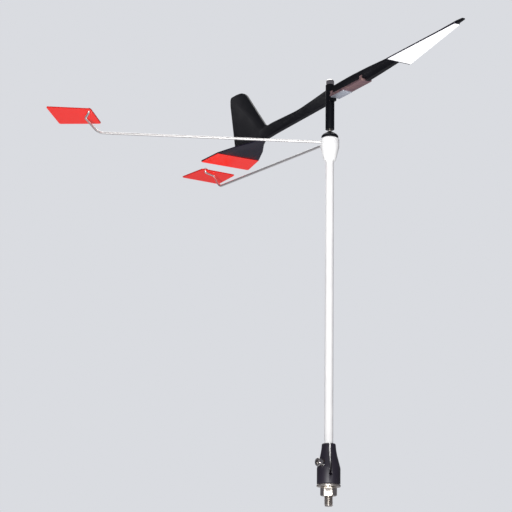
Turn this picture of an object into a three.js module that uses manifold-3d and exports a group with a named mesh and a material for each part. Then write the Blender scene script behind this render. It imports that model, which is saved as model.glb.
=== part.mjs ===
// Masthead wind indicator: a balanced vane on a needle bearing above a pole, with two reference tabs on rod
// arms, and a moulded socket that is bolted to the mast's top plate. Millimetres, +Z up, +X towards the bow.
// The origin is on the pole's axis, in the face of the socket that seats on the mast.
import * as THREE from 'three';
import { mergeVertices } from 'three/addons/utils/BufferGeometryUtils.js';
import Module from 'manifold-3d';

const wasm = await Module();
wasm.setup();

// Clearances
const fitGap = 0.3; // between pieces that touch or slide
const glueGap = 0.15; // between a film and its plate

// Socket
const socketRadius = 13.1;
const socketHeight = 45;
const socketTopRadius = 7.7;
const socketFlare = [[12.8, 19], [11.1, 25.5], [9.5, 31.5], [8.3, 38]]; // [radius, height]
const socketCylinderHeight = 17.5;
const socketFloorHeight = 15; // the pole's foot stands on it
const slitWidth = 2.2;
const slitFootHeight = 10.5;
const slitAngle = -48; // degrees round the pole, from the bow
const edgeRound = 0.8;

// Mast bolt
const studRadius = 4.85;
const studLength = 24; // below the seat
const collarRadius = 7.6;
const collarFoot = 3.8;
const collarHeight = 4.6;
const washerRadius = 13.3;
const washerThickness = 2.4;
const nutAcrossFlats = 16;
const nutHeight = 9.6;
const nutTurn = -62; // degrees, the direction that one flat faces

// Clamp screw
const clampAngle = -104;
const clampHeight = 23.4;
const clampSeat = 11.4; // distance of the spot face from the pole's axis
const clampShankRadius = 2.5;
const clampHeadRadius = 4.8;
const clampHeadHeight = 5.4;
const clampSocketFlats = 6;
const clampSocketDepth = 3.8;
const insertWall = 1.2;

// Pole
const poleFootRadius = 4.85;
const poleTopRadius = 4.7;
const poleBoreRadius = 2.6;
const plugLength = 24;

// Hub, at the height where the arms leave it
const armHeight = 400;
const hubRadius = 11.1;
const hubFootRadius = 7.0;
const hubConeHeight = 17;
const hubFootBelowArms = 23;
const hubTopAboveArms = 4.8;
const hubFloorBelowArms = 6.5; // the pole's top ends under it
const spindleRadius = 1.5;
const spindleSeatBelowArms = 4.5;
const spindleTipAboveArms = 64;
const spindlePointLength = 4;
const spindleShoulderRadius = 2.0;
const spindleShoulderHeight = 2.6;
const spigotClearance = 2; // round the spindle's foot, in the hub's top
const spigotDepth = 1.5;
const skirtRadius = 10;
const skirtLip = 2.4;
const skirtHeight = 8.2;
const skirtFlare = [[8.4, 4.4], [6.2, 6], [3.8, 7.4], [2.6, 8.2]]; // [radius, height], above the lip

// Arms and tabs
const armHalfAngle = 26.2; // each side of the stern
const armRise = 4.6; // degrees above level
const armLength = 281.5; // to the bend, from the pole's axis
const armRootRadius = 5;
const rodRadius = 1.5;
const bendRadius = 7;
const legOut = 17.5;
const legUp = 19.8;
const hookIn = 9;
const hookAcross = 18;
const hookBendRadius = 2.6;
const rodEndAboveTab = 1.6;
const tabStart = 5.6; // beyond the arm's bend
const tabLength = 54.7;
const tabInnerWidth = 49.5;
const tabOuterWidth = 57.3;
const tabThickness = 1.2;
const tabCorner = 2.5;
const tabTilt = 3.5; // degrees above level, outwards
const filmThickness = 0.35;
const filmMargin = 0.3;
const clipRadius = 3.2;
const clipThickness = 0.8;

// Vane, at rest turned this far from the bow; its own X runs to the nose
const vaneHeading = -28.7;
const vaneTubeRadius = 5.3;
const vaneTubeFoot = 16.2; // above the arms, as are all heights of the vane
const vaneTubeTop = 71.6;
const vaneBoreRadius = 2.3;
const boomThickness = 5;
const finThickness = 2.4;
const noseX = 277;
const noseTaperX = 200; // where the boom begins to narrow
const noseTipHalfWidth = 1.2;
const boomUnder = 45.5; // the boom's underside at the nose
const boomUnderTail = 57; // and at the tail plate
const noseTipHeight = 2.6; // of the nose's blunt end
const tailFrontX = -178;
const tailRearX = -293.5;
const tailHalfWidth = 36.2;
const tailSides = [[0, 0.127], [0.113, 0.238], [0.329, 0.541], [0.629, 0.851], [1, 1]]; // of length and width
const tailCorner = 3;
const tailFilmFrontX = -250.6;
const noseRearX = 150.6;
const noseFrontX = 264.7;
const noseRearHalfWidth = 15.2;
const noseFrontHalfWidth = 3.4;
const noseFilmRearMargin = 2.8;
const plateThickness = 1.6;

// Balance weight: a plate in a notch under the boom, with a shorter plate under its rear half
const notchStartX = 11;
const notchEndX = 85.5;
const weightUnderStart = 52.9; // the plate's underside at the notch's rear end
const weightUnderEnd = 48; // and at its front end
const weightRearHalfWidth = 7.4;
const weightFrontHalfWidth = 6.6;
const weightThickness = 2;
const trimLength = 30.5;
const trimHalfWidth = 6.2;
const trimThickness = 1;
const earHeight = 5.8; // above the plate's underside
const earLength = 5;
const earThickness = 0.9;
const earInset = 1.5; // from the plate's end
const earMargin = 0.3; // from its side
const plateCorner = 1;
const seatHalfWidth = 5; // of the flange that the plate lies against
const seatThickness = 1.4;

// Bearing
const bushOuterRadius = 3.9;
const bushBoreRadius = 1.85;
const bushHeight = 7;
const holderRadius = 3.4;
const holderWall = 0.9;
const holderBelowTip = 2.4;
const jewelThickness = 1.6;
const capRadius = 4.9;
const capSide = 4.4; // height of its straight side
const capDome = 3.4;
const capThreadRadius = 3.2;
const capThreadDepth = 2.6;
const domeSteps = 5;

const roundSides = 64;
const smallSides = 32;
const rodSides = 14;

const degrees = THREE.MathUtils.degToRad;
const point = (x, y) => new THREE.Vector2(x, y);

const finish = (color, roughness, metalness = 0) =>
  new THREE.MeshStandardMaterial({ color, roughness, metalness });
const blackNylon = () => finish(0x1b1c22, 0.45);
const whiteMoulding = () => finish(0xf2f2ef, 0.35);
const redPlastic = () => finish(0xd92a22, 0.4);
const stainless = () => finish(0xc9cac8, 0.28, 1);
const brass = () => finish(0xb89352, 0.35, 1);

// A closed geometry as a solid: shared corners are merged and triangles with no area are dropped.
function solid(geometry) {
  const bare = geometry.clone();
  bare.deleteAttribute('normal');
  bare.deleteAttribute('uv');
  const merged = mergeVertices(bare, 1e-4);
  const corners = merged.index.array;
  const kept = [];
  for (let i = 0; i < corners.length; i += 3) {
    const [a, b, c] = [corners[i], corners[i + 1], corners[i + 2]];
    if (a !== b && b !== c && c !== a) kept.push(a, b, c);
  }
  return new wasm.Manifold(new wasm.Mesh({
    numProp: 3,
    vertProperties: new Float32Array(merged.attributes.position.array),
    triVerts: new Uint32Array(kept),
  }));
}

function mesh(name, body, material) {
  const { vertProperties, triVerts } = body.getMesh();
  const geometry = new THREE.BufferGeometry();
  geometry.setAttribute('position', new THREE.BufferAttribute(new Float32Array(vertProperties), 3));
  geometry.setIndex(new THREE.BufferAttribute(new Uint32Array(triVerts), 1));
  geometry.computeVertexNormals();
  const piece = new THREE.Mesh(geometry, material);
  piece.name = name;
  return piece;
}

// A turned solid about Z. The profile runs anticlockwise, as [radius, height] pairs.
function turned(profile, sides = roundSides) {
  const points = profile.map(([r, z]) => point(r, z));
  const onAxis = profile[0][0] === 0 && profile[profile.length - 1][0] === 0;
  if (!onAxis) points.push(points[0].clone());
  return solid(new THREE.LatheGeometry(points, sides).rotateX(Math.PI / 2));
}

const ring = (inner, outer, foot, top, sides = roundSides) => turned(
  [[inner, foot], [outer, foot], [outer, top], [inner, top]], sides);

const rod = (radius, foot, top, sides = smallSides) => turned(
  [[0, foot], [radius, foot], [radius, top], [0, top]], sides);

const hexPrism = (acrossFlats, foot, top) => rod(acrossFlats / Math.sqrt(3), foot, top, 6);

// A solid made along Z is laid so that it points outwards, at an angle round the pole and a height.
const laidOutwards = (body, angle, height) => body
  .rotate([0, 90, 0]).rotate([0, 0, angle]).translate([0, 0, height]);

const extruded = (outline, depth) =>
  new THREE.ExtrudeGeometry(outline, { depth, bevelEnabled: false, curveSegments: 5 });

// An outline in the XZ plane, given thickness across Y about the middle.
function upright(outline, thickness) {
  return solid(extruded(outline, thickness).translate(0, 0, -thickness / 2).rotateX(Math.PI / 2));
}

// An outline in the XY plane, given thickness upwards from a height.
function flat(outline, thickness, height) {
  return solid(extruded(outline, thickness).translate(0, 0, height));
}

// An outline through corners, each [x, y, radius]; one with no radius is sharp.
function outlineOf(corners) {
  const shape = new THREE.Shape();
  const count = corners.length;
  corners.forEach(([x, y, radius = 0], i) => {
    const corner = point(x, y);
    const before = point(...corners[(i + count - 1) % count].slice(0, 2));
    const after = point(...corners[(i + 1) % count].slice(0, 2));
    const start = corner.clone().add(before.sub(corner).setLength(radius));
    const end = corner.clone().add(after.sub(corner).setLength(radius));
    if (i === 0) shape.moveTo(start.x, start.y);
    else shape.lineTo(start.x, start.y);
    if (radius > 0) shape.quadraticCurveTo(x, y, end.x, end.y);
  });
  shape.closePath();
  return shape;
}

// ---- Base ----

function mastSocket() {
  const bore = poleFootRadius + fitGap;
  const stud = studRadius + fitGap;
  const cavity = collarRadius + fitGap;
  const cavityFoot = collarFoot - fitGap;
  const cavityTop = collarFoot + collarHeight + fitGap;
  const body = turned([
    [0, cavityTop], [cavity, cavityTop], [cavity, cavityFoot], [stud, cavityFoot], [stud, 0],
    [socketRadius - edgeRound, 0], [socketRadius, edgeRound], [socketRadius, socketCylinderHeight],
    ...socketFlare, [socketTopRadius, socketHeight - edgeRound], [socketTopRadius - edgeRound, socketHeight],
    [bore, socketHeight], [bore, socketFloorHeight], [0, socketFloorHeight],
  ]);
  const reach = socketRadius + 1;
  const slit = solid(new THREE.BoxGeometry(reach, slitWidth, socketHeight)
    .translate(reach / 2, 0, slitFootHeight + socketHeight / 2)).rotate([0, 0, slitAngle]);
  const slitEnd = laidOutwards(rod(slitWidth * 0.8, 0, reach, 16), slitAngle, slitFootHeight);
  const insertHole = laidOutwards(
    rod(clampShankRadius + 2 * fitGap + insertWall, 0, reach), clampAngle, clampHeight);
  const spotFace = laidOutwards(rod(clampHeadRadius + fitGap, clampSeat, reach + 5), clampAngle, clampHeight);
  return body.subtract(slit).subtract(slitEnd).subtract(insertHole).subtract(spotFace);
}

function mountStud() {
  return turned([
    [0, -studLength], [studRadius - edgeRound, -studLength], [studRadius, edgeRound - studLength],
    [studRadius, collarFoot], [collarRadius, collarFoot], [collarRadius, collarFoot + collarHeight],
    [0, collarFoot + collarHeight],
  ]);
}

function clampScrew() {
  const tip = poleFootRadius + fitGap;
  const seat = clampSeat + fitGap;
  const end = seat + clampHeadHeight;
  const body = turned([
    [0, tip], [clampShankRadius - 0.5, tip], [clampShankRadius, tip + 0.5], [clampShankRadius, seat],
    [clampHeadRadius, seat], [clampHeadRadius, end - 0.4], [clampHeadRadius - 0.4, end], [0, end],
  ], smallSides);
  const key = hexPrism(clampSocketFlats, end - clampSocketDepth, end + 1);
  return laidOutwards(body.subtract(key), clampAngle, clampHeight);
}

function clampInsert() {
  const inner = clampShankRadius + fitGap;
  return laidOutwards(
    ring(inner, inner + insertWall, poleFootRadius + 2 * fitGap, clampSeat - fitGap, smallSides),
    clampAngle, clampHeight);
}

const washerTop = -fitGap;
const washerFoot = washerTop - washerThickness;
const nutTop = washerFoot - fitGap;

const flatWasher = () => ring(studRadius + fitGap, washerRadius, washerFoot, washerTop);

function hexNut() {
  const corner = nutAcrossFlats / Math.sqrt(3);
  const chamfer = corner - nutAcrossFlats / 2 + 0.2;
  const foot = nutTop - nutHeight;
  const edge = corner + 0.2;
  const envelope = turned([
    [0, foot], [edge - chamfer, foot], [edge, foot + chamfer * 0.6], [edge, nutTop - chamfer * 0.6],
    [edge - chamfer, nutTop], [0, nutTop],
  ]);
  return hexPrism(nutAcrossFlats, foot, nutTop).rotate([0, 0, nutTurn])
    .intersect(envelope).subtract(rod(studRadius + fitGap, foot - 1, nutTop + 1));
}

// ---- Mast ----

const poleFoot = socketFloorHeight + fitGap;
const poleTop = armHeight - hubFloorBelowArms;
const hubTop = armHeight + hubTopAboveArms;
const skirtFoot = hubTop + fitGap;
const skirtTop = skirtFoot + skirtHeight;

// The pole is straight where the socket and the hub hold it, and tapers in between.
function poleTube() {
  const taperTop = armHeight - hubFootBelowArms;
  return turned([
    [poleBoreRadius, poleFoot], [poleFootRadius, poleFoot], [poleFootRadius, socketHeight],
    [poleTopRadius, taperTop], [poleTopRadius, poleTop - fitGap], [poleBoreRadius, poleTop - fitGap],
  ]);
}

const footPlug = () => rod(poleBoreRadius - fitGap, poleFoot, poleFoot + plugLength);

function armRod(angle) {
  const outwards = (r, across, up) => new THREE.Vector3(r, across, up);
  const slope = Math.tan(degrees(armRise));
  const tabSlope = Math.tan(degrees(tabTilt));
  const bend = outwards(armLength, 0, armLength * slope);
  const legTop = outwards(armLength + legOut, 0, bend.z + legUp);
  const hookEnd = outwards(legTop.x - hookIn, hookAcross, legTop.z - hookIn * tabSlope);
  const rise = 2 * rodRadius + tabThickness + rodEndAboveTab;
  const rodEnd = hookEnd.clone().add(outwards(-Math.sin(degrees(tabTilt)), 0, Math.cos(degrees(tabTilt)))
    .multiplyScalar(rise));
  const towards = (from, to, distance) => from.clone().add(to.clone().sub(from).setLength(distance));
  const split = outwards(bend.x - bendRadius - 2, 0, (bend.x - bendRadius - 2) * slope);
  const path = new THREE.CurvePath();
  const corners = [[bend, split, legTop, bendRadius], [legTop, bend, hookEnd, hookBendRadius],
    [hookEnd, legTop, rodEnd, hookBendRadius]];
  let last = towards(split, bend, -1);
  for (const [corner, before, after, radius] of corners) {
    const start = towards(corner, before, radius);
    const end = towards(corner, after, radius);
    path.add(new THREE.LineCurve3(last, start));
    path.add(new THREE.QuadraticBezierCurve3(start, corner, end));
    last = end;
  }
  path.add(new THREE.LineCurve3(last, rodEnd));
  const section = new THREE.Shape().absarc(0, 0, rodRadius, 0, 2 * Math.PI);
  const bent = solid(new THREE.ExtrudeGeometry(section,
    { extrudePath: path, steps: 56, curveSegments: rodSides / 2 }));
  const straight = rod(rodRadius, armRootRadius, split.x / Math.cos(degrees(armRise)), rodSides)
    .rotate([0, 90 - armRise, 0]);
  return straight.add(bent).rotate([0, 0, angle]);
}

function armHub(angles) {
  const foot = armHeight - hubFootBelowArms;
  const poleBore = poleTopRadius + fitGap;
  const spindleBore = spindleRadius + fitGap;
  const spigotBore = spindleShoulderRadius + spigotClearance;
  let body = turned([
    [poleBore, foot], [hubFootRadius - edgeRound, foot], [hubFootRadius, foot + edgeRound],
    [hubRadius, foot + hubConeHeight], [hubRadius, hubTop - 1.4], [hubRadius - 1.4, hubTop],
    [spigotBore, hubTop], [spigotBore, hubTop - spigotDepth], [spindleBore, hubTop - spigotDepth],
    [spindleBore, poleTop], [poleBore, poleTop],
  ]);
  for (const angle of angles) {
    const hole = rod(rodRadius + fitGap, armRootRadius - fitGap, hubRadius + 3, 16)
      .rotate([0, 90 - armRise, 0]).rotate([0, 0, angle]).translate([0, 0, armHeight]);
    body = body.subtract(hole);
  }
  return body;
}

function hubSkirt() {
  const bore = spindleRadius + fitGap;
  const flare = skirtFlare.map(([r, z]) => [r, skirtFoot + z]);
  return turned([
    [bore, skirtFoot], [skirtRadius - edgeRound, skirtFoot], [skirtRadius, skirtFoot + edgeRound],
    [skirtRadius, skirtFoot + skirtLip], ...flare, [bore, skirtTop],
  ]);
}

function spindle() {
  const foot = armHeight - spindleSeatBelowArms;
  const shoulder = skirtTop + fitGap;
  const tip = armHeight + spindleTipAboveArms;
  return turned([
    [0, foot], [spindleRadius, foot], [spindleRadius, shoulder], [spindleShoulderRadius, shoulder],
    [spindleShoulderRadius, shoulder + spindleShoulderHeight - 0.5],
    [spindleRadius, shoulder + spindleShoulderHeight], [spindleRadius, tip - spindlePointLength],
    [0.25, tip - 0.3], [0, tip],
  ], smallSides);
}

// The tab and its film lie level here, and are tilted about the arm's bend when they are placed.
const bendHeight = armLength * Math.tan(degrees(armRise));
const tiltSine = Math.sin(degrees(tabTilt));
const tiltCosine = Math.cos(degrees(tabTilt));
const filmUnder = legUp * tiltCosine - legOut * tiltSine + rodRadius + fitGap;
const tabUnder = filmUnder + filmThickness + glueGap;
const hookX = (legOut - hookIn) * tiltCosine + (legUp - hookIn * tiltSine / tiltCosine) * tiltSine;

function tabPlate(foot, thickness, margin) {
  const [start, end] = [tabStart + margin, tabStart + tabLength - margin];
  const [inner, outer] = [tabInnerWidth / 2 - margin, tabOuterWidth / 2 - margin];
  const outline = outlineOf([[start, -inner, tabCorner], [end, -outer, tabCorner],
    [end, outer, tabCorner], [start, inner, tabCorner]]);
  const hole = rod(rodRadius + fitGap, foot - 1, foot + thickness + 1, 16)
    .translate([hookX, hookAcross, 0]);
  return flat(outline, thickness, foot).subtract(hole);
}

function tabClip() {
  const foot = tabUnder + tabThickness + fitGap;
  return ring(rodRadius + fitGap, clipRadius, foot, foot + clipThickness, smallSides)
    .translate([hookX, hookAcross, 0]);
}

// ---- Vane ----

// The boom's underside falls from the tail plate to the notch, and again beyond the notch.
const boomUnderRear = [[-140, 56.2], [-86, 53.8], [-23, 50.6], [notchStartX, 49.2]];
const boomUnderFront = [[notchEndX, 47.2], [notchEndX + 25, 46.8], [noseRearX - fitGap, 46.6]];

const weightUnderAt = (x) => weightUnderStart
  + (weightUnderEnd - weightUnderStart) * (x - notchStartX) / (notchEndX - notchStartX);
const seatUnderAt = (x) => weightUnderAt(x) + weightThickness + fitGap;

function vaneBody() {
  const plateTop = plateThickness + filmThickness + glueGap + fitGap;
  const finFoot = boomUnderTail + plateTop;
  const noseFoot = boomUnder + plateTop;
  const boom = outlineOf([
    [tailFrontX - 6, finFoot], [tailFrontX + fitGap, finFoot], [tailFrontX + fitGap, boomUnderTail],
    ...boomUnderRear, [notchStartX, seatUnderAt(notchStartX)], [notchEndX, seatUnderAt(notchEndX)],
    ...boomUnderFront, [noseRearX - fitGap, noseFoot], [noseFrontX + fitGap, noseFoot],
    [noseFrontX + fitGap, boomUnder + 0.4],
    [noseX, boomUnder + 0.8, 0.8], [noseX - 1, boomUnder + noseTipHeight, 0.8], [noseFrontX, boomUnder + 4],
    [180, 52.6, 20], [150, 55.2, 10], [121, 58.6, 10], [86, 62.2, 10], [50, 65.1, 10], [17, 66.7, 10],
    [-9, 67.1, 6], [-38, 66.3, 10], [-78, 66, 14], [-118, 69.8, 14], [-150, 72.6, 6], [tailFrontX - 6, 72.6],
  ].reverse());
  const fin = outlineOf([
    [-146, finFoot], [-146, 70], [-160, 73.6, 6], [-168, 75.6, 5], [-228, 138.6, 5], [-240, 145.8, 8],
    [-258, 149, 6], [-277.3, 150.6, 5], [-276.6, 139, 3], [-255, finFoot],
  ].reverse());
  const [seatStart, seatEnd] = [seatUnderAt(notchStartX), seatUnderAt(notchEndX)];
  const seat = outlineOf([
    [notchStartX, seatStart], [notchEndX, seatEnd],
    [notchEndX, seatEnd + seatThickness], [notchStartX, seatStart + seatThickness],
  ]);
  const tube = rod(vaneTubeRadius, vaneTubeFoot, vaneTubeTop, roundSides);
  const bushPocket = rod(bushOuterRadius + fitGap, vaneTubeFoot - 1, vaneTubeFoot + bushHeight + fitGap);
  const holderFoot = spindleTipAboveArms - holderBelowTip;
  const holderPocket = rod(holderRadius + fitGap, holderFoot - fitGap, vaneTubeTop + 1);
  const needleBore = rod(vaneBoreRadius, vaneTubeFoot - 1, vaneTubeTop - 1);
  const beside = boomThickness; // well outside the boom's side
  const taper = flat(outlineOf([
    [noseTaperX, boomThickness / 2], [noseX + 1, noseTipHalfWidth], [noseX + 1, beside], [noseTaperX, beside],
  ]), vaneTubeTop, 0);
  return upright(boom, boomThickness)
    .subtract(taper)
    .subtract(taper.mirror([0, 1, 0]))
    .add(upright(fin, finThickness))
    .add(upright(seat, 2 * seatHalfWidth))
    .add(tube)
    .subtract(bushPocket)
    .subtract(holderPocket)
    .subtract(needleBore);
}

// The tail plate is a delta with bowed sides; the same outline, cut short, makes its film.
function tailOutline(frontX, margin) {
  const sides = tailSides.map(([along, half]) =>
    [tailFrontX + along * (tailRearX - tailFrontX), half * tailHalfWidth]);
  const rearX = tailRearX + margin;
  const halfAt = (x) => {
    const next = Math.max(1, sides.findIndex(([place]) => place <= x));
    const [[x0, h0], [x1, h1]] = [sides[next - 1], sides[next]];
    return h0 + (h1 - h0) * (x - x0) / (x1 - x0);
  };
  const between = sides.map(([x]) => x).filter((x) => x < frontX - 1 && x > tailRearX);
  const near = [frontX, ...between, rearX]
    .map((x) => [x, halfAt(x) - margin, x === rearX ? tailCorner : 0]);
  const far = near.map(([x, y, radius]) => [x, -y, radius]);
  return outlineOf([...near, ...far.reverse()]);
}

function noseOutline(rearMargin, margin) {
  const [rear, front] = [noseRearX + rearMargin, noseFrontX - margin];
  const [rearHalf, frontHalf] = [noseRearHalfWidth - margin, noseFrontHalfWidth - margin];
  return outlineOf([[rear, rearHalf, plateCorner], [rear, -rearHalf, plateCorner],
    [front, -frontHalf, plateCorner], [front, frontHalf, plateCorner]]);
}

const blackPlate = (outline, under) => flat(outline, plateThickness, under + filmThickness + glueGap);
const film = (outline, under) => flat(outline, filmThickness, under);

// A plate in the notch: the outline is drawn flat and then tilted to the notch's slope.
const notchSlope = Math.atan2(weightUnderStart - weightUnderEnd, notchEndX - notchStartX);
const notchPlay = 0.5; // at each end of the plate
const plateStartX = notchStartX + notchPlay;
const plateLength = (notchEndX - notchStartX) / Math.cos(notchSlope) - 2 * notchPlay;
const inNotch = (body) => body.rotate([0, THREE.MathUtils.radToDeg(notchSlope), 0])
  .translate([plateStartX, 0, weightUnderAt(plateStartX)]);

function balanceWeight() {
  const narrowing = (weightRearHalfWidth - weightFrontHalfWidth) / plateLength;
  const foot = weightThickness / 2;
  let body = flat(outlineOf([
    [0, -weightRearHalfWidth, plateCorner], [plateLength, -weightFrontHalfWidth, plateCorner],
    [plateLength, weightFrontHalfWidth, plateCorner], [0, weightRearHalfWidth, plateCorner],
  ]), weightThickness, 0);
  for (const start of [earInset, plateLength - earLength - earInset]) {
    const middle = start + earLength / 2;
    const across = weightRearHalfWidth - narrowing * middle - earThickness / 2 - earMargin;
    const ear = solid(new THREE.BoxGeometry(earLength, earThickness, earHeight - foot)
      .translate(middle, across, (earHeight + foot) / 2));
    body = body.add(ear).add(ear.mirror([0, 1, 0]));
  }
  return inNotch(body);
}

const trimPlate = () => inNotch(flat(outlineOf([
  [notchPlay, -trimHalfWidth, plateCorner], [trimLength, -trimHalfWidth, plateCorner],
  [trimLength, trimHalfWidth, plateCorner], [notchPlay, trimHalfWidth, plateCorner],
]), trimThickness, -trimThickness - glueGap));

function bearingPieces() {
  const tip = spindleTipAboveArms + fitGap;
  const jewelTop = tip + jewelThickness;
  const holderFoot = spindleTipAboveArms - holderBelowTip;
  const capFoot = vaneTubeTop - capThreadDepth;
  const inner = holderRadius - holderWall;
  const jewel = turned([
    [0, tip], [inner - fitGap, tip - jewelThickness / 2], [inner - fitGap, jewelTop], [0, jewelTop],
  ], smallSides);
  const holder = turned([
    [0, jewelTop + fitGap], [inner, jewelTop + fitGap], [inner, holderFoot], [holderRadius, holderFoot],
    [holderRadius, capFoot - fitGap], [0, capFoot - fitGap],
  ], smallSides);
  const dome = [];
  for (let step = 0; step < domeSteps; step += 1) {
    const turn = (Math.PI / 2) * (step / domeSteps);
    dome.push([capRadius * Math.cos(turn), vaneTubeTop + fitGap + capSide + capDome * Math.sin(turn)]);
  }
  dome.push([0, vaneTubeTop + fitGap + capSide + capDome]);
  const cap = turned([[0, capFoot], [capThreadRadius, capFoot], [capThreadRadius, vaneTubeTop + fitGap],
    [capRadius, vaneTubeTop + fitGap], ...dome], smallSides);
  const bushFoot = vaneTubeFoot + glueGap;
  const bush = ring(bushBoreRadius, bushOuterRadius, bushFoot, bushFoot + bushHeight - fitGap, smallSides);
  return { jewel, holder, cap, bush };
}

// ---- Assembly ----

const indicator = new THREE.Group();

indicator.add(
  mesh('mast_socket', mastSocket(), blackNylon()),
  mesh('mount_stud', mountStud(), stainless()),
  mesh('flat_washer', flatWasher(), stainless()),
  mesh('hex_nut', hexNut(), stainless()),
  mesh('clamp_insert', clampInsert(), brass()),
  mesh('clamp_screw', clampScrew(), stainless()),
  mesh('pole_tube', poleTube(), whiteMoulding()),
  mesh('pole_foot_plug', footPlug(), finish(0x8d8f92, 0.5)),
);

const arms = [
  { side: 'starboard', angle: 180 + armHalfAngle },
  { side: 'port', angle: 180 - armHalfAngle },
];

indicator.add(
  mesh('arm_hub', armHub(arms.map(({ angle }) => angle)), whiteMoulding()),
  mesh('hub_skirt', hubSkirt(), blackNylon()),
  mesh('spindle', spindle(), stainless()),
);

for (const { side, angle } of arms) {
  const arm = mesh(`${side}_arm`, armRod(angle), stainless());
  arm.position.z = armHeight;
  const bearing = new THREE.Group();
  bearing.position.z = armHeight;
  bearing.rotation.z = degrees(angle);
  const tab = new THREE.Group();
  tab.position.set(armLength, 0, bendHeight);
  tab.rotation.y = -degrees(tabTilt);
  tab.add(
    mesh(`${side}_tab`, tabPlate(tabUnder, tabThickness, 0), redPlastic()),
    mesh(`${side}_tab_film`, tabPlate(filmUnder, filmThickness, filmMargin), redPlastic()),
    mesh(`${side}_tab_clip`, tabClip(), stainless()),
  );
  bearing.add(tab);
  indicator.add(arm, bearing);
}

const vane = new THREE.Group();
vane.position.z = armHeight;
vane.rotation.z = degrees(vaneHeading);
const { jewel, holder, cap, bush } = bearingPieces();
vane.add(
  mesh('vane_body', vaneBody(), blackNylon()),
  mesh('guide_bush', bush, finish(0xe6e2d6, 0.4)),
  mesh('jewel_holder', holder, brass()),
  mesh('bearing_jewel', jewel, finish(0x9c1c34, 0.1)),
  mesh('bearing_cap', cap, stainless()),
  mesh('tail_plate', blackPlate(tailOutline(tailFrontX, 0), boomUnderTail), blackNylon()),
  mesh('tail_film', film(tailOutline(tailFilmFrontX, filmMargin), boomUnderTail), redPlastic()),
  mesh('nose_plate', blackPlate(noseOutline(0, 0), boomUnder), blackNylon()),
  mesh('nose_film', film(noseOutline(noseFilmRearMargin, filmMargin), boomUnder), finish(0xf4f4f2, 0.3)),
  mesh('balance_weight', balanceWeight(), finish(0x7d6a66, 0.4, 1)),
  mesh('trim_plate', trimPlate(), stainless()),
);
indicator.add(vane);

export default indicator;
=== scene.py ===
import bpy
import bmesh
import math
from mathutils import Matrix, Vector


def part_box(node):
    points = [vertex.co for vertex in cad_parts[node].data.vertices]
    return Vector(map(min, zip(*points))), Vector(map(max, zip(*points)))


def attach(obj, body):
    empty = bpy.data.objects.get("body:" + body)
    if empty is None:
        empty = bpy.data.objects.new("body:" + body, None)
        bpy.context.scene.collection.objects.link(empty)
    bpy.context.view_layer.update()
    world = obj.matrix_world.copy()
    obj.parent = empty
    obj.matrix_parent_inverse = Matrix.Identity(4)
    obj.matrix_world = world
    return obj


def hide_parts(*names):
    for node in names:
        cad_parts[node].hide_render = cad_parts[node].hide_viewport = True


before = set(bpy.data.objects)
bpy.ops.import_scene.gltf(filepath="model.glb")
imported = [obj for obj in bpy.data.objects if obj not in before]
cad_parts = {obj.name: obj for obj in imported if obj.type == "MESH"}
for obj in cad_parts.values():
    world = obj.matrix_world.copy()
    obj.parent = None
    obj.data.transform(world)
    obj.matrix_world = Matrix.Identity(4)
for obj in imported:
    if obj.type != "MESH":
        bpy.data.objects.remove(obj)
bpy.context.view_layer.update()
mm = 0.001
weld = {"spun": 0.002, "node": 0.004, "thread": 0.01, "rod": 0.005}  # mm, points closer than this become one
noiseRange = {"low": 0.3, "high": 0.7}  # where most of a noise texture's values lie


# Colours and nodes

def linear(hexColour):  # sRGB hex to linear, with alpha
    parts = [int(hexColour[i:i + 2], 16) / 255 for i in (1, 3, 5)]
    return [p / 12.92 if p <= 0.04045 else ((p + 0.055) / 1.055) ** 2.4 for p in parts] + [1]


def addNode(mat, kind, settings, links=()):  # a setting names a property, or a socket by name or number
    node = mat.node_tree.nodes.new(kind)
    for key, value in settings.items():
        if isinstance(key, str) and hasattr(node, key):
            setattr(node, key, value)
        else:
            node.inputs[key].default_value = value
    for socket, source, output in links:
        mat.node_tree.links.new(source.outputs[output], node.inputs[socket])
    return node


def newMaterial(name, settings):
    mat = bpy.data.materials.new(name)
    mat.use_nodes = True
    mat.node_tree.nodes.clear()
    shader = addNode(mat, "ShaderNodeBsdfPrincipled", settings)
    addNode(mat, "ShaderNodeOutputMaterial", {}, [("Surface", shader, "BSDF")])
    return mat, shader


def objectCoords(mat, scale=(1, 1, 1), turn=0.0):  # stretched, and turned about Z in degrees
    coords = addNode(mat, "ShaderNodeTexCoord", {})
    return addNode(mat, "ShaderNodeMapping", {"Rotation": (0, 0, math.radians(turn)), "Scale": scale},
                   [("Vector", coords, "Object")])


def variedColour(mat, shader, noise, dark, light):
    ramp = addNode(mat, "ShaderNodeMapRange", {"From Min": noiseRange["low"], "From Max": noiseRange["high"]},
                   [("Value", noise, "Fac")])
    mix = addNode(mat, "ShaderNodeMix", {"data_type": "RGBA", 6: linear(dark), 7: linear(light)},
                  [(0, ramp, "Result")])
    mat.node_tree.links.new(mix.outputs[2], shader.inputs["Base Color"])


def variedRoughness(mat, shader, noise, smooth, rough):
    ramp = addNode(mat, "ShaderNodeMapRange", {"From Min": noiseRange["low"], "From Max": noiseRange["high"],
                   "To Min": smooth, "To Max": rough}, [("Value", noise, "Fac")])
    mat.node_tree.links.new(ramp.outputs["Result"], shader.inputs["Roughness"])


def addBump(mat, shader, source, output, depth):  # depth in metres
    bump = addNode(mat, "ShaderNodeBump", {"Strength": 1.0, "Distance": depth}, [("Height", source, output)])
    mat.node_tree.links.new(bump.outputs["Normal"], shader.inputs["Normal"])


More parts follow.
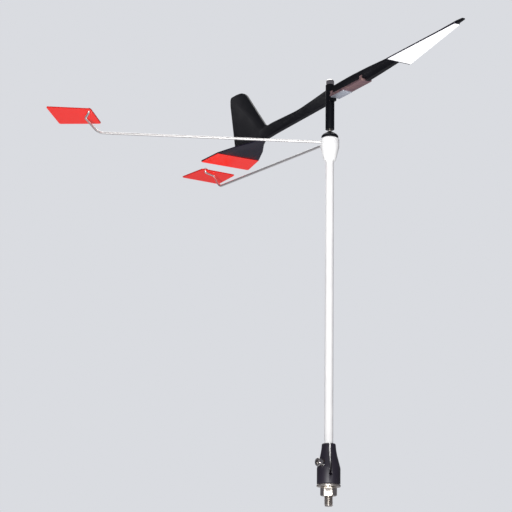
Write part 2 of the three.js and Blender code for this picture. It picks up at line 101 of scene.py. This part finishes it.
def mouldedPlastic(name, dark, light, grain, depth, smooth, rough, settings):
    patch = 35 * mm  # broad, faint patches in the colour and the gloss
    mat, shader = newMaterial(name, settings)
    coords = objectCoords(mat)
    fine = addNode(mat, "ShaderNodeTexNoise", {"Scale": 1 / grain, "Detail": 3, "Roughness": 0.6},
                   [("Vector", coords, "Vector")])
    broad = addNode(mat, "ShaderNodeTexNoise", {"Scale": 1 / patch, "Detail": 2},
                    [("Vector", coords, "Vector")])
    variedColour(mat, shader, broad, dark, light)
    variedRoughness(mat, shader, broad, smooth, rough)
    addBump(mat, shader, fine, "Fac", depth)
    return mat


def brushedMetal(name, dark, light, grainLength, grainWidth, turn, smooth, rough, depth):
    mat, shader = newMaterial(name, {"Metallic": 1.0})
    coords = objectCoords(mat, (1 / grainLength, 1 / grainWidth, 1 / grainLength), turn)
    lines = addNode(mat, "ShaderNodeTexNoise", {"Scale": 1.0, "Detail": 4, "Roughness": 0.65},
                    [("Vector", coords, "Vector")])
    variedColour(mat, shader, lines, dark, light)
    variedRoughness(mat, shader, lines, smooth, rough)
    addBump(mat, shader, lines, "Fac", depth)
    return mat


def turnedMetal(name, dark, light, spacing, smooth, rough):  # tool marks run round the pole's axis
    wavePeriod = math.pi / 10  # a wave texture at scale 1 has this period, in metres
    smearSize = 4 * mm
    toolDepth = 0.004 * mm
    mat, shader = newMaterial(name, {"Metallic": 1.0})
    coords = objectCoords(mat)
    rings = addNode(mat, "ShaderNodeTexWave",
                    {"wave_type": "RINGS", "rings_direction": "Z", "Scale": wavePeriod / spacing,
                     "Distortion": 1.2, "Detail": 2}, [("Vector", coords, "Vector")])
    smear = addNode(mat, "ShaderNodeTexNoise", {"Scale": 1 / smearSize, "Detail": 3},
                    [("Vector", coords, "Vector")])
    variedColour(mat, shader, smear, dark, light)
    variedRoughness(mat, shader, rings, smooth, rough)
    addBump(mat, shader, rings, "Fac", toolDepth)
    return mat


def prismFilm(name, cellColour, seamColour, cell, seam, turn, settings):  # a honeycomb of sealed cells
    farOff = 400  # in cells, so that the pattern never crosses zero, where it would mirror
    grid = (1, math.sqrt(3), 1)  # two interleaved grids of this pitch make the honeycomb
    half = (0.5, math.sqrt(3) / 2, 0)
    sealDepth = 0.03 * mm
    mat, shader = newMaterial(name, settings)
    coords = addNode(mat, "ShaderNodeTexCoord", {})
    place = addNode(mat, "ShaderNodeMapping",
                    {"Location": (farOff, farOff, 0), "Scale": (1 / cell, 1 / cell, 0),
                     "Rotation": (0, 0, math.radians(turn))}, [("Vector", coords, "Object")])

    def lattice(shifted):
        start = addNode(mat, "ShaderNodeVectorMath",
                        {"operation": "SUBTRACT", 1: half if shifted else (0, 0, 0)}, [(0, place, "Vector")])
        wrapped = addNode(mat, "ShaderNodeVectorMath", {"operation": "MODULO", 1: grid},
                          [(0, start, "Vector")])
        centred = addNode(mat, "ShaderNodeVectorMath", {"operation": "SUBTRACT", 1: half},
                          [(0, wrapped, "Vector")])
        away = addNode(mat, "ShaderNodeVectorMath", {"operation": "LENGTH"}, [(0, centred, "Vector")])
        return centred, away

    first, firstAway = lattice(False)
    second, secondAway = lattice(True)
    nearer = addNode(mat, "ShaderNodeMath", {"operation": "LESS_THAN"},
                     [(0, secondAway, "Value"), (1, firstAway, "Value")])
    chosen = addNode(mat, "ShaderNodeMix", {"data_type": "VECTOR"},
                     [(0, nearer, 0), (4, first, 0), (5, second, 0)])
    folded = addNode(mat, "ShaderNodeVectorMath", {"operation": "ABSOLUTE"}, [(0, chosen, 1)])
    slanted = addNode(mat, "ShaderNodeVectorMath", {"operation": "DOT_PRODUCT", 1: half}, [(0, folded, 0)])
    apart = addNode(mat, "ShaderNodeSeparateXYZ", {}, [(0, folded, 0)])
    reach = addNode(mat, "ShaderNodeMath", {"operation": "MAXIMUM"}, [(0, slanted, "Value"), (1, apart, "X")])
    line = addNode(mat, "ShaderNodeMapRange",  # a cell's edge is half a cell from its centre
                   {"From Min": 0.5 - seam / cell, "From Max": 0.5 - 0.3 * seam / cell},
                   [("Value", reach, 0)])
    mix = addNode(mat, "ShaderNodeMix", {"data_type": "RGBA", 6: linear(cellColour), 7: linear(seamColour)},
                  [(0, line, "Result")])
    mat.node_tree.links.new(mix.outputs[2], shader.inputs["Base Color"])
    addBump(mat, shader, line, "Result", sealDepth)
    return mat


heading = -28.7  # the vane's direction at rest, degrees from the bow

# Glass-filled nylon, injection moulded: near black and satin, with a fine orange peel that softens highlights
blackNylon = mouldedPlastic("glassFilledNylon", "#07080c", "#0e0f14", 0.9 * mm, 0.02 * mm, 0.3, 0.44,
                            {"IOR": 1.53, "Specular IOR Level": 0.14})
# Glass-filled nylon, injection moulded: the vane's nylon painted paler, greyer and faintly violet to stand in
# for the stronger light on the socket; rougher, with a broad sheen
socketNylon = mouldedPlastic("paintedLitNylon", "#19151f", "#251f2d", 0.9 * mm, 0.03 * mm, 0.4, 0.52,
                             {"IOR": 1.55, "Specular IOR Level": 0.6})
# Polycarbonate sheet, pressed: flatter and a little glossier than the moulding, with a faint violet cast
blackSheet = mouldedPlastic("polycarbonateSheet", "#14101f", "#1c1729", 2.5 * mm, 0.008 * mm, 0.22, 0.34,
                            {"IOR": 1.58, "Specular IOR Level": 0.25})
# Fibreglass tube, pultruded and white right through: glossy, with a very slight ripple
whiteGelcoat = mouldedPlastic("pultrudedFibreglass", "#f0efee", "#fbfaf8", 1.4 * mm, 0.006 * mm, 0.16, 0.28,
                              {"IOR": 1.52, "Coat Weight": 0.35, "Coat Roughness": 0.08})
# ASA, injection moulded and weatherproof: clean white, a softer gloss than the tube
whiteAsa = mouldedPlastic("mouldedAsa", "#f3f3f1", "#fbfbf9", 1.1 * mm, 0.01 * mm, 0.24, 0.36, {"IOR": 1.51})
# ABS, injection moulded: saturated signal red with a semi-gloss skin
redAbs = mouldedPlastic("mouldedAbs", "#c9140e", "#d91a13", 1.2 * mm, 0.012 * mm, 0.28, 0.4, {"IOR": 1.54})
# Stainless steel rod, cold drawn and pickled: bright but soft, with a fine even mottle
drawnSteel = brushedMetal("drawnStainless", "#dedbd8", "#f6f4f2", 1.111 * mm, 1.111 * mm, 0, 0.46, 0.56,
                          0.002 * mm)
# Stainless steel strip, cold rolled and brushed along the boom: bright, with long grain
rolledSteel = brushedMetal("rolledStainless", "#dbe2f0", "#f4f7fc", 16.667 * mm, 0.7143 * mm, -heading, 0.42,
                           0.55, 0.003 * mm)
# Mild steel plate, chemically browned: dull, warm and patchy. The grain is drawn coarse so that it shows
brownedSteel = brushedMetal("brownedSteel", "#a08090", "#c8a49c", 20 * mm, 2 * mm, -heading, 0.45, 0.6,
                            0.004 * mm)
# Stainless steel, turned: bright, with rings left by the tool. All turned rings are drawn coarse, to show
turnedSteel = turnedMetal("turnedStainless", "#c9c1b6", "#e8e2da", 3.77 * mm, 0.24, 0.38)
# Stainless steel, turned and polished: almost a mirror, with slight handling marks
polishedSteel = turnedMetal("polishedStainless", "#d0cdc9", "#ece9e5", 5.655 * mm, 0.05, 0.13)
# Free-cutting brass, turned: warm yellow, with soft rings
turnedBrass = turnedMetal("turnedBrass", "#b08d4a", "#d2b06a", 3.142 * mm, 0.2, 0.32)
# Acetal, turned: dark and slightly waxy, so the bearing's mouth reads as one with the tube
acetal = mouldedPlastic("turnedAcetal", "#131316", "#1d1d21", 0.8 * mm, 0.01 * mm, 0.3, 0.42, {"IOR": 1.48})
# Polythene, injection moulded: plain grey and waxy, with a dull skin that takes no sharp highlight
greyPlug = mouldedPlastic("mouldedPolythene", "#808285", "#909296", 1.5 * mm, 0.02 * mm, 0.4, 0.55,
                          {"IOR": 1.51})
# Synthetic ruby, cut and polished: deep red and clear, with a hard bright glint
ruby = newMaterial("syntheticRuby", {"Base Color": linear("#a0102c"), "Roughness": 0.04, "IOR": 1.76,
                                     "Transmission Weight": 0.6})[0]
# Microprismatic film, laminated: small sealed honeycomb cells under a clear skin. The prisms send light
# straight back, which a plain surface can't, so a little emission stands in for it
redFilm = prismFilm("redPrismaticFilm", "#ff2c1e", "#d9200f", 3.4 * mm, 0.3 * mm, 20,
                    {"Roughness": 0.3, "IOR": 1.5, "Coat Weight": 0.2, "Coat Roughness": 0.1,
                     "Emission Color": linear("#f02c22"), "Emission Strength": 0.34})
# Microprismatic film in white, laminated: the same cells, paler and brighter, its stronger emission a painted
# glow for the light the prisms send back
whiteFilm = prismFilm("whitePrismaticFilm", "#fdfdfd", "#dcdde0", 3.4 * mm, 0.3 * mm, -20,
                      {"Roughness": 0.3, "IOR": 1.5, "Coat Weight": 0.2, "Coat Roughness": 0.1,
                       "Emission Color": linear("#ffffff"), "Emission Strength": 0.5})
print("materials made")


# Making pieces

def finishPiece(bm, name, body, material, replaced, sharp=32):  # edges over sharp degrees stay crisp
    bmesh.ops.recalc_face_normals(bm, faces=bm.faces)
    for face in bm.faces:
        face.smooth = True
    for edge in bm.edges:
        edge.smooth = not edge.is_manifold or edge.calc_face_angle(0) < math.radians(sharp)
    mesh = bpy.data.meshes.new(name)
    bm.to_mesh(mesh)
    bm.free()
    mesh.materials.append(material)
    piece = bpy.data.objects.new(name, mesh)
    bpy.context.scene.collection.objects.link(piece)
    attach(piece, body)
    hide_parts(*replaced)


# Overlap clamping cuts the width over the whole piece to what its shortest edge allows. It leaves vane_body,
# arm_hub, mast_socket and hex_nut all but sharp, and balance_weight with about a fifth of its width
def softened(bm, width, segments, angle=32):  # bevels the edges sharper than the angle, in degrees
    sharp = [edge for edge in bm.edges if edge.is_manifold and edge.calc_face_angle(0) > math.radians(angle)]
    bmesh.ops.bevel(bm, geom=sharp, offset=width, offset_type="OFFSET", segments=segments, profile=0.5,
                    affect="EDGES", material=-1, clamp_overlap=True)


def spun(profile, steps):  # [radius, height] in millimetres, turned about Z
    bm = bmesh.new()
    ring = [bm.verts.new((r * mm, 0, z * mm)) for r, z in profile]
    edges = [bm.edges.new(pair) for pair in zip(ring, ring[1:])]
    if profile[0][0] > 0 or profile[-1][0] > 0:
        edges.append(bm.edges.new((ring[-1], ring[0])))
    bmesh.ops.spin(bm, geom=ring + edges, cent=(0, 0, 0), axis=(0, 0, 1), dvec=(0, 0, 0), angle=2 * math.pi,
                   steps=steps, use_merge=True)
    bmesh.ops.remove_doubles(bm, verts=bm.verts, dist=weld["spun"] * mm)
    return bm


def mergedCopy(node):  # a CAD node's mesh, with its triangles joined and flat faces made whole
    bm = bmesh.new()
    bm.from_mesh(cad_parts[node].data)
    bmesh.ops.remove_doubles(bm, verts=bm.verts, dist=weld["node"] * mm)
    nearlyFlat = math.radians(0.6)
    bmesh.ops.dissolve_limit(bm, angle_limit=nearlyFlat, verts=bm.verts, edges=bm.edges)
    return bm


def refine(node, body, material, width, segments=2):  # a CAD node with its edges softened
    bm = mergedCopy(node)
    softened(bm, width * mm, segments)
    finishPiece(bm, node + "_finished", body, material, [node])


def height(node, end):  # lowest (0) or highest (1) point of a node, in millimetres
    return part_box(node)[end].z / mm


# Base

socket = {"edge": 0.3, "segments": 2}
refine("mast_socket", "base", socketNylon, socket["edge"], socket["segments"])

washer = {"bore": 5.15, "radius": 13.3, "edge": 0.35, "steps": 96}
low, high = height("flat_washer", 0), height("flat_washer", 1)
rim = washer["radius"] - washer["edge"]
bm = spun([[washer["bore"], low], [rim, low], [washer["radius"], low + washer["edge"]],
           [washer["radius"], high - washer["edge"]], [rim, high], [washer["bore"], high]], washer["steps"])
finishPiece(bm, "washer_turned", "base", turnedSteel, ["flat_washer"])

stud = {"radius": 4.85, "root": 4.15, "pitch": 1.5, "stepsPerTurn": 40, "threadTop": 3.2, "collar": 7.6,
        "collarFoot": 3.8, "collarTop": 8.4, "tip": 0.6, "tipRadius": 3.65, "core": 4.2, "coreSteps": 48,
        "crestFoot": 0.45, "crestTop": 0.72, "ridgeTop": 1.18, "runOut": 1.2}
low = height("mount_stud", 0)
turns = int((stud["threadTop"] - low - stud["runOut"]) / stud["pitch"])
start = low + stud["tip"]
rise = [(stud["root"], 0), (stud["radius"], stud["crestFoot"]), (stud["radius"], stud["crestTop"]),
        (stud["root"], stud["ridgeTop"]), (stud["root"], stud["pitch"])]
bm = bmesh.new()
verts = [bm.verts.new((r * mm, 0, (start + z) * mm)) for r, z in rise]
edges = [bm.edges.new(pair) for pair in zip(verts, verts[1:])]
last = bmesh.ops.spin(bm, geom=verts + edges, cent=(0, 0, 0), axis=(0, 0, 1), angle=2 * math.pi * turns,
                      dvec=(0, 0, stud["pitch"] * mm / stud["stepsPerTurn"]),
                      steps=turns * stud["stepsPerTurn"], use_merge=False)["geom_last"]
for end in (verts, [v for v in last if isinstance(v, bmesh.types.BMVert)]):  # close the ridge at both ends
    bmesh.ops.contextual_create(bm, geom=end)
bmesh.ops.remove_doubles(bm, verts=bm.verts, dist=weld["thread"] * mm)
openEdges = [edge for edge in bm.edges if edge.is_boundary]
bmesh.ops.holes_fill(bm, edges=openEdges, sides=0)  # both are hidden inside the core
core = spun([[0, low], [stud["tipRadius"], low], [stud["core"], start], [stud["core"], stud["collarFoot"]],
             [stud["collar"], stud["collarFoot"]], [stud["collar"], stud["collarTop"]],
             [0, stud["collarTop"]]], stud["coreSteps"])
coreMesh = bpy.data.meshes.new("studCore")
core.to_mesh(coreMesh)
core.free()
bm.from_mesh(coreMesh)
bpy.data.meshes.remove(coreMesh)
finishPiece(bm, "stud_threaded", "base", turnedSteel, ["mount_stud"], sharp=40)

nut = {"edge": 0.25}
refine("hex_nut", "nut", turnedSteel, nut["edge"])
insert = {"edge": 0.1}
refine("clamp_insert", "base", turnedBrass, insert["edge"])
screw = {"edge": 0.22, "segments": 3}
refine("clamp_screw", "screw", polishedSteel, screw["edge"], screw["segments"])
print("base made")


# Mast

pole = {"foot": 4.85, "top": 4.7, "bore": 2.6, "taperFoot": 45, "taperTop": 377, "edge": 0.25, "steps": 96,
        "longEdge": 100, "cuts": 12}
low, high = height("pole_tube", 0), height("pole_tube", 1)
bm = spun([[pole["bore"], low], [pole["foot"] - pole["edge"], low], [pole["foot"], low + pole["edge"]],
           [pole["foot"], pole["taperFoot"]], [pole["top"], pole["taperTop"]],
           [pole["top"], high - pole["edge"]], [pole["top"] - pole["edge"], high], [pole["bore"], high]],
          pole["steps"])
tall = [edge for edge in bm.edges if edge.calc_length() > pole["longEdge"] * mm]
bmesh.ops.subdivide_edges(bm, edges=tall, cuts=pole["cuts"])
finishPiece(bm, "pole_finished", "mast", whiteGelcoat, ["pole_tube"])
plug = {"edge": 0.2}
refine("pole_foot_plug", "mast", greyPlug, plug["edge"])

hub = {"edge": 0.5, "segments": 3}
refine("arm_hub", "mast", whiteAsa, hub["edge"], hub["segments"])
skirt = {"edge": 0.3, "segments": 3}
refine("hub_skirt", "mast", blackNylon, skirt["edge"], skirt["segments"])
spindle = {"edge": 0.12}
refine("spindle", "mast", turnedSteel, spindle["edge"])

arm = {"height": 400, "rise": 4.6, "length": 281.5, "root": 5, "rod": 1.5, "bend": 7, "legOut": 17.5,
       "legUp": 19.8, "hookIn": 9, "hookAcross": 18, "hookBend": 2.6, "tabTilt": 3.5, "end": 5.8,
       "bendSteps": 10, "roundness": 6}


def roundedPath(corners, radii, steps):  # a line through corners, each one rounded
    points = [corners[0]]
    for before, corner, after, radius in zip(corners, corners[1:], corners[2:], radii):
        a = corner + (before - corner).normalized() * radius
        b = corner + (after - corner).normalized() * radius
        for i in range(steps + 1):
            t = i / steps
            points.append(a * (1 - t) ** 2 + corner * 2 * t * (1 - t) + b * t ** 2)
    return points + [corners[-1]]


def armRod(name, angle):
    slope = math.tan(math.radians(arm["rise"]))
    tilt = math.radians(arm["tabTilt"])
    root = Vector((arm["root"], 0, arm["root"] * slope))
    bend = Vector((arm["length"], 0, arm["length"] * slope))
    leg = bend + Vector((arm["legOut"], 0, arm["legUp"]))
    hook = leg + Vector((-arm["hookIn"], arm["hookAcross"], -arm["hookIn"] * math.tan(tilt)))
    end = hook + Vector((-math.sin(tilt), 0, math.cos(tilt))) * arm["end"]
    path = roundedPath([root, bend, leg, hook, end], [arm["bend"], arm["hookBend"], arm["hookBend"]],
                       arm["bendSteps"])
    curve = bpy.data.curves.new(name, "CURVE")
    curve.dimensions = "3D"
    curve.bevel_depth = arm["rod"] * mm
    curve.bevel_resolution = arm["roundness"]
    curve.use_fill_caps = True
    line = curve.splines.new("POLY")
    line.points.add(len(path) - 1)
    place = Matrix.Translation((0, 0, arm["height"])) @ Matrix.Rotation(math.radians(angle), 4, "Z")
    for point, p in zip(line.points, path):
        point.co = (*((place @ p) * mm), 1)
    holder = bpy.data.objects.new(name + "_path", curve)
    bpy.context.scene.collection.objects.link(holder)
    bpy.context.view_layer.update()
    mesh = bpy.data.meshes.new_from_object(holder.evaluated_get(bpy.context.evaluated_depsgraph_get()))
    bpy.data.objects.remove(holder)
    bm = bmesh.new()
    bm.from_mesh(mesh)
    bmesh.ops.remove_doubles(bm, verts=bm.verts, dist=weld["rod"] * mm)
    finishPiece(bm, name + "_rod", "mast", drawnSteel, [name], sharp=50)


armRod("starboard_arm", 206.2)  # degrees from the bow
armRod("port_arm", 153.8)

tab = {"edge": 0.3, "segments": 3, "filmEdge": 0.08, "clipEdge": 0.15}
for side in ("starboard", "port"):
    refine(side + "_tab", "mast", redAbs, tab["edge"], tab["segments"])
    refine(side + "_tab_film", "mast", redFilm, tab["filmEdge"], 1)
    refine(side + "_tab_clip", "mast", drawnSteel, tab["clipEdge"])
print("mast made")


# Vane

vane = {"edge": 0.55, "segments": 3, "plateEdge": 0.3, "filmEdge": 0.08}
refine("vane_body", "vane", blackNylon, vane["edge"], vane["segments"])
refine("tail_plate", "vane", blackSheet, vane["plateEdge"])
refine("nose_plate", "vane", blackSheet, vane["plateEdge"])
refine("tail_film", "vane", redFilm, vane["filmEdge"], 1)
refine("nose_film", "vane", whiteFilm, vane["filmEdge"], 1)
weight = {"edge": 0.25}
refine("balance_weight", "vane", brownedSteel, weight["edge"])
trim = {"edge": 0.2}
refine("trim_plate", "vane", rolledSteel, trim["edge"])

cap = {"radius": 4.9, "side": 4.4, "dome": 3.4, "threadRadius": 3.2, "edge": 0.3, "domeSteps": 14,
       "steps": 72}
low, high = height("bearing_cap", 0), height("bearing_cap", 1)
brim = high - cap["dome"] - cap["side"]
dome = []
for i in range(cap["domeSteps"] + 1):
    t = math.pi / 2 * i / cap["domeSteps"]
    dome.append([cap["radius"] * math.cos(t), high - cap["dome"] * (1 - math.sin(t))])
dome[-1][0] = 0  # the top is on the axis exactly
bm = spun([[0, low], [cap["threadRadius"], low], [cap["threadRadius"], brim],
           [cap["radius"] - cap["edge"], brim], [cap["radius"], brim + cap["edge"]]] + dome, cap["steps"])
finishPiece(bm, "bearing_cap_turned", "vane", polishedSteel, ["bearing_cap"])
bearing = {"bushEdge": 0.15, "holderEdge": 0.1, "jewelEdge": 0.08}
refine("guide_bush", "vane", acetal, bearing["bushEdge"])
refine("jewel_holder", "vane", turnedBrass, bearing["holderEdge"])
refine("bearing_jewel", "vane", ruby, bearing["jewelEdge"])
print("vane made")


# Studio

camera = {"place": (0.8228, -1.3213, -0.1567), "right": (0.8217, 0.5698, 0.0169), "lens": 98.13, "sensor": 36,
          "forward": (-0.5541, 0.7913, 0.2585), "trim": (-0.000466, 0.000394), "nearest": 0.05}
ahead = Vector(camera["forward"]).normalized()
right = Vector(camera["right"])
right = (right - ahead * right.dot(ahead)).normalized()
up = right.cross(ahead)
ahead = (ahead + right * camera["trim"][0] + up * camera["trim"][1]).normalized()
right = (right - ahead * right.dot(ahead)).normalized()
up = right.cross(ahead)
cam = bpy.data.objects.new("studioCamera", bpy.data.cameras.new("studioCamera"))
cam.data.lens = camera["lens"]
cam.data.sensor_width = camera["sensor"]
cam.data.clip_start = camera["nearest"]
turn = Matrix((right, up, -ahead)).transposed().to_4x4()
cam.matrix_world = Matrix.Translation(camera["place"]) @ turn
bpy.context.scene.collection.objects.link(cam)
bpy.context.scene.camera = cam

lamps = [  # metres, watts, degrees
    {"name": "keyLamp", "place": (0.64, -1.31, -0.28), "aim": (0, 0, 0.42), "size": 0.1, "power": 4.6,
     "spread": 75},
    {"name": "topSoftbox", "place": (-0.5, 0.4, 2.4), "aim": (0, 0, 0), "size": 2.4, "power": 34,
     "spread": 180},
    {"name": "backSoftbox", "place": (-1.6, 1.5, 1.5), "aim": (0, 0, 0.3), "size": 1.4, "power": 8,
     "spread": 180},
]
for look in lamps:
    data = bpy.data.lights.new(look["name"], "AREA")
    data.shape = "DISK"
    data.size = look["size"]
    data.energy = look["power"]
    data.spread = math.radians(look["spread"])
    lamp = bpy.data.objects.new(look["name"], data)
    lamp.location = look["place"]
    lamp.rotation_mode = "QUATERNION"
    lamp.rotation_quaternion = (Vector(look["aim"]) - lamp.location).to_track_quat("-Z", "Y")
    bpy.context.scene.collection.objects.link(lamp)

# Seamless paper, matt white: it glows to the camera alone, so that it stays pale and lights nothing
floor = {"height": -0.6, "size": 60, "paper": "#f1f1f3", "glow": "#e6e7eb", "glowStrength": 0.6}  # metres
paper, paperShader = newMaterial("paperFloor", {"Base Color": linear(floor["paper"]), "Roughness": 0.9,
                                                "Emission Color": linear(floor["glow"])})
looked = addNode(paper, "ShaderNodeLightPath", {})
glow = addNode(paper, "ShaderNodeMath", {"operation": "MULTIPLY", 1: floor["glowStrength"]},
               [(0, looked, "Is Camera Ray")])
paper.node_tree.links.new(glow.outputs[0], paperShader.inputs["Emission Strength"])
bm = bmesh.new()
bmesh.ops.create_grid(bm, x_segments=2, y_segments=2, size=floor["size"] / 2)
bmesh.ops.translate(bm, verts=bm.verts, vec=(0, 0, floor["height"]))
floorMesh = bpy.data.meshes.new("studioFloor")
bm.to_mesh(floorMesh)
bm.free()
floorMesh.materials.append(paper)
floorObject = bpy.data.objects.new("studioFloor", floorMesh)
bpy.context.scene.collection.objects.link(floorObject)

world = bpy.data.worlds.new("studioWorld")
world.use_nodes = True
world.node_tree.nodes.clear()
sky = {"backdrop": "#dfe1e6", "backdropStrength": 0.95, "fill": "#d3d2e2", "fillStrength": 0.2}
backdrop = addNode(world, "ShaderNodeBackground",
                   {"Color": linear(sky["backdrop"]), "Strength": sky["backdropStrength"]})
fill = addNode(world, "ShaderNodeBackground",  # lights the object, dimmer than the backdrop looks
               {"Color": linear(sky["fill"]), "Strength": sky["fillStrength"]})
seen = addNode(world, "ShaderNodeLightPath", {})
either = addNode(world, "ShaderNodeMixShader", {},
                 [(0, seen, "Is Camera Ray"), (1, fill, 0), (2, backdrop, 0)])
addNode(world, "ShaderNodeOutputWorld", {}, [("Surface", either, 0)])
bpy.context.scene.world = world
bpy.context.scene.view_settings.view_transform = "Standard"
print("studio made")
